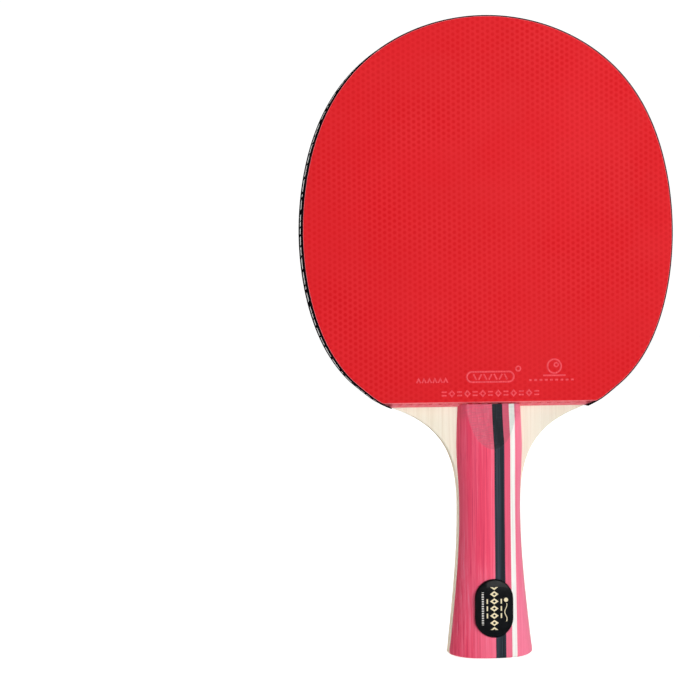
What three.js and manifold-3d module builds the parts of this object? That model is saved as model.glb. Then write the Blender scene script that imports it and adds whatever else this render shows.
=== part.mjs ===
// Table tennis paddle with a flared, striped handle.
// Millimetres. X runs across the width, Y through the thickness (the red
// face looks along -Y, the black face along +Y) and Z up the paddle, from
// the handle end at z = 0 to the top of the head. The origin is the centre
// of the handle end, on the blade's mid-plane.
import * as THREE from 'three';
import { mergeVertices } from 'three/addons/utils/BufferGeometryUtils.js';
import Module from 'manifold-3d';

// ---- blade: five plies, sharing one outline --------------------------------
const CORE_HALF = 1.7;        // core ply, 3.4 thick
const INNER_OUT = 2.3;        // inner ply, 0.6 thick
const FACE_OUT = 2.9;         // face ply, 0.6 thick; the blade is 5.8 thick

// ---- rubbers: a sponge and a pips-in topsheet on each side ------------------
const SPONGE_OUT = 5.0;       // sponge, 2.1 thick
const TOP_OUT = 6.9;          // topsheet, 1.9 thick
const RUBBER_CUT_Z = 101.0;   // lower edge of the rubber where it meets the blade
const RUBBER_CUT_RISE = 2.0;  // the lower edge is cut on a slant, by this much
const MARK_RELIEF = 0.2;      // raised marks near the rubber's lower edge

// ---- head outline: radius from (0, HEAD_CZ) as a cosine series --------------
const HEAD_CZ = 177.7;
const HEAD_SERIES = [79.716, -2.473, 2.982, 1.419, -2.229, 0.895, -0.481, 0.211];
const HEAD_END_DEG = 140;     // measured from the top of the head
const HEAD_STEPS = 36;

// ---- neck and tang: half-width at a height ----------------------------------
const NECK = [
  [47.2, 105.2], [43.0, 102.6], [38.6, 100.55], [34.0, 98.7], [29.6, 96.5],
  [25.6, 93.9], [22.2, 90.9], [19.4, 87.7], [17.2, 84.2], [15.6, 80.6],
  [14.4, 76.9], [13.6, 73.0], [13.1, 69.0], [12.85, 65.0], [12.75, 60.0],
  [12.85, 52.0], [13.2, 43.5], [13.75, 35.5], [14.4, 28.0], [15.15, 20.5],
  [16.0, 12.5], [16.7, 6.0], [17.0, 3.6], [17.2, 1.95],
];
const BUTT_CORNER_R = 1.3;
const BUTT_FLAT = 8.0;        // half-width of the flat middle of the handle end
const BUTT_RISE = 0.8;        // how far the handle end curves up towards its corners

// ---- handle scales ----------------------------------------------------------
const HANDLE_L = 100.85;
const TOP_LIP = 1.2;          // the end leans over the foot of the rubber by this much
const HANDLE_TOP = HANDLE_L + TOP_LIP;
const SCALE_STEP = 0.25;      // the tang stands out this far past each scale
const SCALE_W = [             // half-width of a scale where it meets the blade
  [0, 17.3], [1.95, 17.05], [3.6, 16.8], [6, 16.5], [12.5, 15.75], [20.5, 14.9], [28, 14.15],
  [35.5, 13.5], [43.5, 12.95], [52, 12.6], [60, 12.5], [65, 12.58], [70, 12.75],
  [75, 13.05], [80, 13.3], [85, 13.45], [90, 13.35], [95, 13.15], [99, 12.95],
  [HANDLE_L, 12.85],
];
const SCALE_H = [             // crown height above the blade's mid-plane
  [0, 12.0], [10, 11.8], [20, 11.55], [35, 11.2], [50, 11.0], [62, 10.95],
  [75, 11.1], [85, 11.25], [95, 11.25], [HANDLE_L, 11.2],
];
const SECTION_POWER = 2.05;   // roundness of the handle's oval section
const SECTION_STEPS = 22;
const BUTT_EDGE_R = 0.9;      // rounding of the handle end's front and back edges
const TOP_EDGE_R = 0.3;
const TOP_CORNER_R = 0.4;
const FACET_LENGTH = 16.8;    // thumb scoop at the head end of each scale
const FACET_DEPTH = 4.6;
const FACET_POWER = 1.4;      // how much of the scoop's depth comes early
const FACET_HOLLOW = 66;      // radius of the scoop's hollow, across the handle
const FACET_X = 1.4;          // the scoop sits a little off the middle
// Strips of the laminated scales, seen from the front, left to right.
const STRIP_X = [-40, 0.6, 4.8, 7.4, 9.6, 40];

// ---- edge tape --------------------------------------------------------------
const TAPE_HALF = 6.7;        // 13.4 wide
const TAPE_IN = 0.05;
const TAPE_OUT = 0.55;        // 0.5 thick

// ---- badge ------------------------------------------------------------------
const BADGE_Z = 20.2;
const BADGE_R = 7.75;         // end radius: the badge is 15.5 wide
const BADGE_STRAIGHT = 3.85;  // half of its straight part: 23.2 tall
const POCKET_GAP = 0.25;
const POCKET_FLOOR = 10.1;
const LABEL_TOP = 10.5;
const DOME_EDGE = 11.5;
const DOME_TOP = 12.25;

// ---- small helpers ----------------------------------------------------------
const wasm = await Module();
wasm.setup();

function lerpTable(table, v) {
  if (v <= table[0][0]) return table[0][1];
  for (let i = 1; i < table.length; i++) {
    if (v <= table[i][0]) {
      const [a, fa] = table[i - 1];
      const [b, fb] = table[i];
      // Hermite blend with slopes from the neighbours, so that widths flow
      const p = table[Math.max(0, i - 2)];
      const n = table[Math.min(table.length - 1, i + 1)];
      const ma = i - 2 >= 0 ? (fb - p[1]) / (b - p[0]) : (fb - fa) / (b - a);
      const mb = i + 1 < table.length ? (n[1] - fa) / (n[0] - a) : (fb - fa) / (b - a);
      const h = b - a;
      const t = (v - a) / h;
      const t2 = t * t;
      const t3 = t2 * t;
      return (2 * t3 - 3 * t2 + 1) * fa + (t3 - 2 * t2 + t) * h * ma
        + (-2 * t3 + 3 * t2) * fb + (t3 - t2) * h * mb;
    }
  }
  return table[table.length - 1][1];
}

function catmull(points, perSpan) {
  const out = [];
  for (let i = 1; i < points.length - 2; i++) {
    const [p0, p1, p2, p3] = [points[i - 1], points[i], points[i + 1], points[i + 2]];
    for (let k = 0; k < perSpan; k++) {
      const t = k / perSpan;
      const t2 = t * t;
      const t3 = t2 * t;
      out.push([0, 1].map((d) => 0.5 * (2 * p1[d] + (p2[d] - p0[d]) * t
        + (2 * p0[d] - 5 * p1[d] + 4 * p2[d] - p3[d]) * t2
        + (3 * p1[d] - p0[d] - 3 * p2[d] + p3[d]) * t3)));
    }
  }
  return out;
}

function toManifold(positions, indices) {
  // outward faces have a positive signed volume
  let v = 0;
  for (let i = 0; i < indices.length; i += 3) {
    const [a, b, c] = [indices[i] * 3, indices[i + 1] * 3, indices[i + 2] * 3];
    const p = positions;
    v += p[a] * (p[b + 1] * p[c + 2] - p[b + 2] * p[c + 1])
      - p[a + 1] * (p[b] * p[c + 2] - p[b + 2] * p[c])
      + p[a + 2] * (p[b] * p[c + 1] - p[b + 1] * p[c]);
  }
  const tri = Uint32Array.from(indices);
  if (v < 0) {
    for (let i = 0; i < tri.length; i += 3) [tri[i], tri[i + 1]] = [tri[i + 1], tri[i]];
  }
  return new wasm.Manifold(new wasm.Mesh({
    numProp: 3, vertProperties: Float32Array.from(positions), triVerts: tri,
  }));
}

// A straight prism over an outline; place(u, v, w) sets the vertex.
function prism(outline, w0, w1, place) {
  const n = outline.length;
  const flat = THREE.ShapeUtils.triangulateShape(
    outline.map(([u, v]) => new THREE.Vector2(u, v)), []);
  const pos = [];
  for (const w of [w0, w1]) for (const [u, v] of outline) pos.push(...place(u, v, w));
  const idx = [];
  const area = THREE.ShapeUtils.area(outline.map(([u, v]) => new THREE.Vector2(u, v)));
  const s = area > 0 ? 1 : -1;
  for (const [a, b, c] of flat) {
    const ccw = (outline[b][0] - outline[a][0]) * (outline[c][1] - outline[a][1])
      - (outline[c][0] - outline[a][0]) * (outline[b][1] - outline[a][1]) > 0;
    const t = ccw ? [a, b, c] : [a, c, b];
    idx.push(t[0], t[2], t[1]);
    idx.push(t[0] + n, t[1] + n, t[2] + n);
  }
  for (let i = 0; i < n; i++) {
    const j = (i + 1) % n;
    const [p, q] = s > 0 ? [i, j] : [j, i];
    idx.push(p, q, q + n, p, q + n, p + n);
  }
  return toManifold(pos, idx);
}
const prismY = (outlineXZ, y0, y1) => prism(outlineXZ, y0, y1, (u, v, w) => [u, w, v]);
const prismX = (outlineYZ, x0, x1) => prism(outlineYZ, x0, x1, (u, v, w) => [w, u, v]);

// Rings of equal length joined in order, with both ends capped flat.
function loft(rings) {
  const n = rings[0].length;
  const pos = [];
  for (const r of rings) for (const p of r) pos.push(...p);
  const idx = [];
  for (let k = 0; k + 1 < rings.length; k++) {
    for (let i = 0; i < n; i++) {
      const j = (i + 1) % n;
      const [a, b, c, d] = [k * n + i, k * n + j, (k + 1) * n + j, (k + 1) * n + i];
      idx.push(a, b, c, a, c, d);
    }
  }
  const last = (rings.length - 1) * n;
  for (const [base, flip] of [[0, true], [last, false]]) {
    const r = rings[base ? rings.length - 1 : 0];
    const c = pos.length / 3;
    const m = [0, 1, 2].map((d) => r.reduce((s, p) => s + p[d], 0) / n);
    pos.push(...m);
    for (let i = 0; i < n; i++) {
      const j = (i + 1) % n;
      if (flip) idx.push(c, base + j, base + i);
      else idx.push(c, base + i, base + j);
    }
  }
  return toManifold(pos, idx);
}

function turned(m) {          // half a turn about Z
  return m.rotate([0, 0, 180]);
}

const root = new THREE.Group();
root.name = 'table_tennis_paddle';

function addNode(name, manifold, colour, roughness, metalness = 0) {
  const mesh = manifold.getMesh();
  let g = new THREE.BufferGeometry();
  const np = mesh.numProp;
  const count = mesh.vertProperties.length / np;
  const pos = new Float32Array(count * 3);
  for (let i = 0; i < count; i++) {
    for (let d = 0; d < 3; d++) pos[i * 3 + d] = mesh.vertProperties[i * np + d];
  }
  g.setAttribute('position', new THREE.BufferAttribute(pos, 3));
  g.setIndex(new THREE.BufferAttribute(Uint32Array.from(mesh.triVerts), 1));
  g = mergeVertices(g, 1e-5);
  g.computeVertexNormals();
  const material = new THREE.MeshStandardMaterial({ color: colour, roughness, metalness });
  const node = new THREE.Mesh(g, material);
  node.name = name;
  root.add(node);
}

// ---- outlines ----------------------------------------------------------------
function headPoint(deg) {
  const a = THREE.MathUtils.degToRad(deg);
  const r = HEAD_SERIES.reduce((s, c, k) => s + c * Math.cos(k * a), 0);
  return [r * Math.sin(a), HEAD_CZ + r * Math.cos(a)];
}

// Right half of the head, top to the last polar point.
const headRight = [];
for (let i = 0; i <= HEAD_STEPS; i++) headRight.push(headPoint(HEAD_END_DEG * i / HEAD_STEPS));

// The neck and tang carry on from it, down to the butt corner.
const neckControl = [headPoint(HEAD_END_DEG - 4), headPoint(HEAD_END_DEG), ...NECK, [17.4, 0.0]];
const neckRight = catmull(neckControl, 2).slice(1);
const [cornerW, cornerZ] = NECK[NECK.length - 1];
neckRight.push([cornerW, cornerZ]);

const buttRight = [];
const cornerX = cornerW - BUTT_CORNER_R;
for (let k = 1; k <= 5; k++) {
  const a = -80 * k / 5 * Math.PI / 180;
  buttRight.push([cornerX + BUTT_CORNER_R * Math.cos(a), cornerZ + BUTT_CORNER_R * Math.sin(a)]);
}
for (const x of [14.2, 12.4, 10.4, BUTT_FLAT]) {
  buttRight.push([x, BUTT_RISE * ((x - BUTT_FLAT) / 9) ** 2]);
}

function mirrored(right, closeTop) {
  const left = right.slice(closeTop ? 1 : 0).reverse().map(([x, z]) => [-x, z]);
  return [...right, ...left];
}
const bladeRight = [...headRight, ...neckRight, ...buttRight];
bladeRight[0][0] = 0;
const bladeOutline = mirrored(bladeRight, true);

// Head part of the same outline, closed straight across below the rubber edge.
const rimRight = bladeRight.filter(([, z]) => z >= RUBBER_CUT_Z - 2.5);
const headOutline = mirrored(rimRight, true);

// ---- blade --------------------------------------------------------------------
const WOOD_FACE = '#ecdcc4';
const WOOD_INNER = '#d9bd92';
const WOOD_CORE = '#e2cba4';
addNode('blade_core', prismY(bladeOutline, -CORE_HALF, CORE_HALF), WOOD_CORE, 0.62);
addNode('blade_inner_ply_front', prismY(bladeOutline, -INNER_OUT, -CORE_HALF), WOOD_INNER, 0.62);
addNode('blade_inner_ply_back', prismY(bladeOutline, CORE_HALF, INNER_OUT), WOOD_INNER, 0.62);
addNode('blade_face_ply_front', prismY(bladeOutline, -FACE_OUT, -INNER_OUT), WOOD_FACE, 0.55);
addNode('blade_face_ply_back', prismY(bladeOutline, INNER_OUT, FACE_OUT), WOOD_FACE, 0.55);

// ---- rubbers --------------------------------------------------------------------
// Everything above the slanted cut, on the front side.
const slope = RUBBER_CUT_RISE / (TOP_OUT - FACE_OUT);
const zAt = (y) => RUBBER_CUT_Z + slope * (-y - FACE_OUT);
const keepAbove = prismX([[0, zAt(0)], [-12, zAt(-12)], [-12, 300], [0, 300]], -100, 100);

function pill(x0, x1, z0, z1, steps = 8) {
  const r = (z1 - z0) / 2;
  const zc = (z0 + z1) / 2;
  const pts = [];
  for (let k = 0; k <= steps; k++) {
    const a = -Math.PI / 2 + Math.PI * k / steps;
    pts.push([x1 - r + r * Math.cos(a), zc + r * Math.sin(a)]);
  }
  for (let k = 0; k <= steps; k++) {
    const a = Math.PI / 2 + Math.PI * k / steps;
    pts.push([x0 + r + r * Math.cos(a), zc + r * Math.sin(a)]);
  }
  return pts;
}
function disc(cx, cz, r, steps = 20) {
  const pts = [];
  for (let k = 0; k < steps; k++) {
    const a = 2 * Math.PI * k / steps;
    pts.push([cx + r * Math.cos(a), cz + r * Math.sin(a)]);
  }
  return pts;
}
const markLow = -TOP_OUT + 0.1;
const markHigh = -TOP_OUT - MARK_RELIEF;
const relief = [
  pill(-30.6, -17.8, 110.7, 112.7), pill(-9.6, 9.6, 111.1, 115.1),
  pill(15.4, 34.0, 110.9, 112.1), pill(-20.2, 19.2, 105.2, 107.6),
].map((o) => prismY(o, markLow, markHigh));
const ringMark = prismY(disc(26.2, 117.0, 3.3), markLow, markHigh)
  .subtract(prismY(disc(26.2, 117.0, 2.3), markLow - 1, markHigh + 1));
relief.push(ringMark);

const sponge = prismY(headOutline, -SPONGE_OUT, -FACE_OUT).intersect(keepAbove);
let topsheet = prismY(headOutline, -TOP_OUT, -SPONGE_OUT).intersect(keepAbove);
// the ring sits in a sheet that is whole below it
for (const m of relief) topsheet = topsheet.add(m);

addNode('front_sponge', sponge, '#e0607a', 0.85);
addNode('front_topsheet', topsheet, '#e12a34', 0.5);
addNode('back_sponge', turned(sponge), '#e0607a', 0.85);
addNode('back_topsheet', turned(topsheet), '#141518', 0.5);

// ---- edge tape --------------------------------------------------------------------
// A band round the head, from one lower corner of the rubber to the other.
const rim = mirrored(bladeRight.filter(([, z]) => z >= RUBBER_CUT_Z), true);
// order: right corner -> top -> left corner
const rimPath = [...bladeRight.filter(([, z]) => z >= RUBBER_CUT_Z)].reverse()
  .concat(bladeRight.filter(([, z]) => z >= RUBBER_CUT_Z).slice(1).map(([x, z]) => [-x, z]));
function offsetPath(path, d) {
  return path.map((p, i) => {
    const a = path[Math.max(0, i - 1)];
    const b = path[Math.min(path.length - 1, i + 1)];
    const tx = b[0] - a[0];
    const tz = b[1] - a[1];
    const l = Math.hypot(tx, tz);
    return [p[0] + d * tz / l, p[1] - d * tx / l];
  });
}
if (rim.length !== rimPath.length) throw new Error('rim mismatch');
const tapeOutline = [...offsetPath(rimPath, TAPE_OUT), ...offsetPath(rimPath, TAPE_IN).reverse()];
addNode('edge_tape', prismY(tapeOutline, -TAPE_HALF, TAPE_HALF), '#15161a', 0.6);

// ---- handle scales ------------------------------------------------------------------
function roundIn(d, r) {      // how far a rounded edge of radius r falls back at depth d
  if (d >= r) return 0;
  return r - Math.sqrt(Math.max(0, r * r - (r - d) * (r - d)));
}
function scaleSection(z) {
  const w = lerpTable(SCALE_W, z) + 2 * Math.max(0, -z);
  const h = lerpTable(SCALE_H, z) - roundIn(Math.max(0, z), BUTT_EDGE_R)
    - roundIn(Math.max(0, HANDLE_TOP - z), TOP_EDGE_R);
  const n = SECTION_POWER;
  const ww = w / (1 - (FACE_OUT / h) ** n) ** (1 / n);
  const t0 = Math.asin((FACE_OUT / h) ** (n / 2));
  const pts = [];
  for (let k = 0; k <= SECTION_STEPS; k++) {
    const t = t0 + (Math.PI - 2 * t0) * k / SECTION_STEPS;
    const c = Math.cos(t);
    let x = ww * Math.sign(c) * Math.abs(c) ** (2 / n);
    let y = h * Math.abs(Math.sin(t)) ** (2 / n);
    if (k === 0) { x = w; y = FACE_OUT; }
    if (k === SECTION_STEPS) { x = -w; y = FACE_OUT; }
    pts.push([x, -y, z]);
  }
  return pts;
}
const stations = [0, 0.12, 0.35, 0.7, 1.2, 3, 6, 9, 12.5, 16, 20.5, 24, 28, 32, 35.5, 39.5, 43.5,
  47.5, 52, 56, 60, 65, 70, 75, 80, 85, 90, 95, 99, HANDLE_TOP - 0.3, HANDLE_TOP - 0.15,
  HANDLE_TOP - 0.05, HANDLE_TOP];
const body = loft(stations.map(scaleSection));

// Plan of a scale: flush with the tang at the butt, rounded at the head end.
const planRight = [];
for (let k = 0; k <= 4; k++) {
  const a = Math.PI / 2 - (Math.PI / 2) * k / 4;
  planRight.push([13.0 - TOP_CORNER_R + TOP_CORNER_R * Math.cos(a),
    HANDLE_TOP - TOP_CORNER_R + TOP_CORNER_R * Math.sin(a)]);
}
planRight.push([20, HANDLE_TOP - TOP_CORNER_R - 3], [20, 3.6],
  [cornerW - SCALE_STEP, cornerZ]);
for (const [x, z] of buttRight) planRight.push([x > 15 ? x - SCALE_STEP : x, z]);
const planOutline = mirrored(planRight, false);
// Thumb scoop: a shallow hollow cut that starts on the crown and levels out
// towards the head.
const crownTip = lerpTable(SCALE_H, HANDLE_L - FACET_LENGTH);
const crownTop = lerpTable(SCALE_H, HANDLE_L);
function scoopRing(x) {       // outline of the cutter at one place across the handle
  const rise = (x - FACET_X) ** 2 / (2 * FACET_HOLLOW);
  const ring = [[-30, HANDLE_L + 2], [-30, HANDLE_L - FACET_LENGTH - 1.5]];
  for (let k = -1; k <= 10; k++) {
    const s = k / 10;
    const crown = crownTip + (crownTop - crownTip) * s;
    const depth = k < 0 ? -0.55 : FACET_DEPTH * (1 - (1 - s) ** FACET_POWER);
    ring.push([-(crown - depth) - rise, HANDLE_L - FACET_LENGTH * (1 - s)]);
  }
  ring.push([-(crownTop - FACET_DEPTH) - rise, HANDLE_L + 2]);
  return ring.map(([y, z]) => [x, y, z]);
}
const scoopRings = [];
for (let x = -16; x <= 16; x += 2) scoopRings.push(scoopRing(x));
const facet = loft(scoopRings);
// The end of a scale follows the slanted cut of the rubber, then stands square.
const lipFoot = -FACE_OUT - TOP_LIP * (TOP_OUT - FACE_OUT) / RUBBER_CUT_RISE;
const endCut = prismX([[0, HANDLE_L], [0, HANDLE_L + 8], [lipFoot - 0.01, HANDLE_L + 8],
  [lipFoot, HANDLE_TOP + 0.002], [-FACE_OUT, HANDLE_L]], -40, 40);
const plainScale = body.intersect(prismY(planOutline, -30, -1)).subtract(facet)
  .subtract(endCut);

function stadium(r, half, cz, steps = 14) {
  const pts = [];
  for (let k = 0; k <= steps; k++) {
    const a = Math.PI * k / steps;
    pts.push([r * Math.cos(a), cz + half + r * Math.sin(a)]);
  }
  for (let k = 0; k <= steps; k++) {
    const a = Math.PI + Math.PI * k / steps;
    pts.push([r * Math.cos(a), cz - half + r * Math.sin(a)]);
  }
  return pts;
}
const pocket = prismY(stadium(BADGE_R + POCKET_GAP, BADGE_STRAIGHT, BADGE_Z), -30, -POCKET_FLOOR);
const frontScale = plainScale.subtract(pocket);

const RED_WOOD = '#d94a68';
const BLACK_WOOD = '#353b48';
const WHITE_WOOD = '#f2eee4';
const STRIPS = [
  ['left', RED_WOOD], ['black_strip', BLACK_WOOD], ['middle', RED_WOOD],
  ['white_strip', WHITE_WOOD], ['right', RED_WOOD],
];
STRIPS.forEach(([name, colour], i) => {
  const slab = prismX([[-40, -10], [0, -10], [0, 120], [-40, 120]], STRIP_X[i], STRIP_X[i + 1]);
  addNode(`front_scale_${name}`, frontScale.intersect(slab), colour, 0.5);
});
STRIPS.forEach(([name, colour], i) => {
  const slab = prismX([[-40, -10], [0, -10], [0, 120], [-40, 120]], STRIP_X[i], STRIP_X[i + 1]);
  addNode(`back_scale_${name}`, turned(plainScale.intersect(slab)), colour, 0.5);
});

// ---- badge ----------------------------------------------------------------------------
addNode('badge_base', prismY(stadium(BADGE_R, BADGE_STRAIGHT, BADGE_Z), -LABEL_TOP, -POCKET_FLOOR),
  '#101216', 0.4);
const domeRings = [];
for (const [inset, y] of [[0, LABEL_TOP], [0, DOME_EDGE], [0.22, 11.84], [0.7, 12.03],
  [2.0, 12.15], [4.2, 12.22], [6.2, DOME_TOP]]) {
  domeRings.push(stadium(BADGE_R - inset, BADGE_STRAIGHT, BADGE_Z).map(([x, z]) => [x, -y, z]));
}
addNode('badge_dome', loft(domeRings), '#0b0d12', 0.08);

export default root;
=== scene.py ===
import bpy
import bmesh
import math
import numpy as np
from mathutils import Matrix, Vector


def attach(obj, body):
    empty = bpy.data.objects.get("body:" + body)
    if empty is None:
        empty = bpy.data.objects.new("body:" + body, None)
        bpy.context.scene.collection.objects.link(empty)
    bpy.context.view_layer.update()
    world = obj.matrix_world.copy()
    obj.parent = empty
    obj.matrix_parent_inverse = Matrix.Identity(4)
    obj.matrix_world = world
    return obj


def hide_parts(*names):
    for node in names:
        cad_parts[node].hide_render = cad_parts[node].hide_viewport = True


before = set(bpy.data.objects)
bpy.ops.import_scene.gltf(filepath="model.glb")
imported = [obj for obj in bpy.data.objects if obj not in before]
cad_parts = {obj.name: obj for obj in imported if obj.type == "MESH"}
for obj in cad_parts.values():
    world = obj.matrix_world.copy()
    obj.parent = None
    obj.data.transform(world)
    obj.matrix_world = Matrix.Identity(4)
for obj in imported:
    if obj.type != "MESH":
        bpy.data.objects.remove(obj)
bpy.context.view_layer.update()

MM = 0.001

# ------------------------------------------------------------------ dimensions
# The same driving sizes as the solids, in millimetres.
CORE_HALF, INNER_OUT, FACE_OUT = 1.7, 2.3, 2.9
SPONGE_OUT, PIP_TOP, TOP_OUT = 5.0, 5.85, 6.9
CUT_Z, CUT_RISE = 101.0, 2.0
HEAD_CZ = 177.7
HEAD_SERIES = [79.716, -2.473, 2.982, 1.419, -2.229, 0.895, -0.481, 0.211]
HEAD_END = 140.0
NECK = [
    (47.2, 105.2), (43.0, 102.6), (38.6, 100.55), (34.0, 98.7), (29.6, 96.5),
    (25.6, 93.9), (22.2, 90.9), (19.4, 87.7), (17.2, 84.2), (15.6, 80.6),
    (14.4, 76.9), (13.6, 73.0), (13.1, 69.0), (12.85, 65.0), (12.75, 60.0),
    (12.85, 52.0), (13.2, 43.5), (13.75, 35.5), (14.4, 28.0), (15.15, 20.5),
    (16.0, 12.5), (16.7, 6.0), (17.0, 3.6), (17.2, 1.95),
]
BUTT_R, BUTT_FLAT, BUTT_RISE = 1.3, 8.0, 0.8
HANDLE_L = 100.85
TOP_LIP = 1.2            # the end leans over the foot of the rubber by this much
HANDLE_TOP = HANDLE_L + TOP_LIP
SCALE_STEP = 0.25
SCALE_W = [
    (0, 17.3), (1.95, 17.05), (3.6, 16.8), (6, 16.5), (12.5, 15.75), (20.5, 14.9), (28, 14.15),
    (35.5, 13.5), (43.5, 12.95), (52, 12.6), (60, 12.5), (65, 12.58), (70, 12.75),
    (75, 13.05), (80, 13.3), (85, 13.45), (90, 13.35), (95, 13.15), (99, 12.95),
    (HANDLE_L, 12.85),
]
SCALE_H = [
    (0, 12.0), (10, 11.8), (20, 11.55), (35, 11.2), (50, 11.0), (62, 10.95),
    (75, 11.1), (85, 11.25), (95, 11.25), (HANDLE_L, 11.2),
]
POWER = 2.05
SCOOP_L, SCOOP_D, SCOOP_P = 16.8, 4.6, 1.4
SCOOP_HOLLOW, SCOOP_X = 66.0, 1.4
STRIP_X = [-40, 0.6, 4.8, 7.4, 9.6, 40]
TAPE_HALF, TAPE_IN, TAPE_OUT = 6.7, 0.05, 0.52
BADGE_Z, BADGE_R, BADGE_S = 20.2, 7.75, 3.85
POCKET_GAP, POCKET_FLOOR, LABEL_TOP = 0.25, 10.1, 10.5
PIP_PITCH = 2.33
PIP_COL = PIP_PITCH * math.sqrt(3) / 2


# ------------------------------------------------------------------ small maths
def table(rows, v):
    """Hermite reading of a table of (place, value)."""
    if v <= rows[0][0]:
        return rows[0][1]
    for i in range(1, len(rows)):
        if v <= rows[i][0]:
            a, fa = rows[i - 1]
            b, fb = rows[i]
            p = rows[max(0, i - 2)]
            n = rows[min(len(rows) - 1, i + 1)]
            ma = (fb - p[1]) / (b - p[0]) if i >= 2 else (fb - fa) / (b - a)
            mb = (n[1] - fa) / (n[0] - a) if i + 1 < len(rows) else (fb - fa) / (b - a)
            h = b - a
            t = (v - a) / h
            return ((2 * t**3 - 3 * t**2 + 1) * fa + (t**3 - 2 * t**2 + t) * h * ma
                    + (-2 * t**3 + 3 * t**2) * fb + (t**3 - t**2) * h * mb)
    return rows[-1][1]


def catmull(points, per):
    out = []
    for i in range(1, len(points) - 2):
        p0, p1, p2, p3 = (np.array(points[i + k], float) for k in (-1, 0, 1, 2))
        for k in range(per):
            t = k / per
            out.append(0.5 * (2 * p1 + (p2 - p0) * t + (2 * p0 - 5 * p1 + 4 * p2 - p3) * t * t
                              + (3 * p1 - p0 - 3 * p2 + p3) * t**3))
    return out


def head_point(deg):
    a = math.radians(deg)
    r = sum(c * math.cos(k * a) for k, c in enumerate(HEAD_SERIES))
    return np.array([r * math.sin(a), HEAD_CZ + r * math.cos(a)])


def round_in(d, r):
    d = max(0.0, d)
    return 0.0 if d >= r else r - math.sqrt(max(0.0, r * r - (r - d) ** 2))


# ------------------------------------------------------------------ outlines
HEAD_N = 112
head_right = [head_point(HEAD_END * i / HEAD_N) for i in range(HEAD_N + 1)]
neck_right = catmull([head_point(HEAD_END - 4), head_point(HEAD_END)] + NECK + [(17.4, 0.0)], 6)[1:]
CORNER_W, CORNER_Z = NECK[-1]
neck_right.append(np.array([CORNER_W, CORNER_Z]))
butt_right = []
for k in range(1, 13):
    a = math.radians(-80 * k / 12)
    butt_right.append(np.array([CORNER_W - BUTT_R + BUTT_R * math.cos(a), CORNER_Z + BUTT_R * math.sin(a)]))
for x in np.linspace(15.6, BUTT_FLAT, 12):
    butt_right.append(np.array([x, BUTT_RISE * ((x - BUTT_FLAT) / 9) ** 2]))
for x in (5.0, 2.5):
    butt_right.append(np.array([x, 0.0]))
blade_right = head_right + neck_right + butt_right
blade_right[0][0] = 0.0


def mirrored(right, top=True, bottom=False):
    """A closed loop: down the right side, then up the left."""
    left = [np.array([-p[0], p[1]]) for p in right[::-1]]
    if bottom:
        left = left[1:]
    if top:
        left = left[:-1]
    return np.array(list(right) + left)


blade_loop = mirrored(blade_right)

rim_dense = np.array([p for p in blade_right if p[1] > 97.0])


def rim_x(z):
    """Half-width of the blade's outline near the lower corners of the rubber."""
    seg = np.array([p for p in rim_dense if p[1] < 130.0])
    return float(np.interp(z, seg[::-1, 1], seg[::-1, 0]))


def inset(loop, d, closed=True):
    """A loop moved inwards by d (outwards if negative), along its corner normals."""
    p = np.asarray(loop, float)
    n = len(p)
    if closed:
        prev, nxt = np.roll(p, 1, 0), np.roll(p, -1, 0)
    else:
        prev, nxt = np.vstack([p[:1], p[:-1]]), np.vstack([p[1:], p[-1:]])
    t1 = p - prev
    t2 = nxt - p
    l1 = np.linalg.norm(t1, axis=1, keepdims=True)
    l2 = np.linalg.norm(t2, axis=1, keepdims=True)
    t1 = np.divide(t1, l1, out=np.zeros_like(t1), where=l1 > 1e-9)
    t2 = np.divide(t2, l2, out=np.zeros_like(t2), where=l2 > 1e-9)
    t1 = np.where(l1 > 1e-9, t1, t2)
    t2 = np.where(l2 > 1e-9, t2, t1)
    t = t1 + t2
    t /= np.maximum(np.linalg.norm(t, axis=1, keepdims=True), 1e-9)
    cosh = np.clip((t1 * t).sum(1, keepdims=True), 0.5, 1.0)
    normal = np.stack([t[:, 1], -t[:, 0]], 1)  # right-hand side of the path
    area = 0.5 * np.sum(p[:, 0] * np.roll(p[:, 1], -1) - np.roll(p[:, 0], -1) * p[:, 1])
    if closed and area > 0:
        normal = -normal
    return p + normal * d / cosh


# ------------------------------------------------------------------ mesh making
class Shell:
    """Vertices and faces gathered in millimetres."""

    def __init__(self):
        self.v, self.f, self.m = [], [], []

    def add(self, verts, faces, mat=0):
        base = len(self.v)
        self.v.extend([tuple(float(c) for c in p) for p in verts])
        for f in faces:
            self.f.append(tuple(int(i) + base for i in f))
            self.m.append(mat)
        return base

    def rings(self, rings, closed=True, cap=(True, True), mat=0, cap_mat=None):
        """Rings of points joined in order. Open rings give an open strip."""
        n = len(rings[0])
        verts = [p for r in rings for p in r]
        faces = []
        for k in range(len(rings) - 1):
            for i in range(n if closed else n - 1):
                j = (i + 1) % n
                faces.append((k * n + i, k * n + j, (k + 1) * n + j, (k + 1) * n + i))
        base = self.add(verts, faces, mat)
        cm = mat if cap_mat is None else cap_mat
        if cap[0]:
            self.f.append(tuple(base + i for i in reversed(range(n))))
            self.m.append(cm)
        if cap[1]:
            o = base + (len(rings) - 1) * n
            self.f.append(tuple(o + i for i in range(n)))
            self.m.append(cm)


def xz(loop, y):
    return [(p[0], y, p[1]) for p in loop]


def turned(shell):
    """Half a turn about Z."""
    s = Shell()
    s.v = [(-x, -y, z) for x, y, z in shell.v]
    s.f, s.m = list(shell.f), list(shell.m)
    return s


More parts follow.
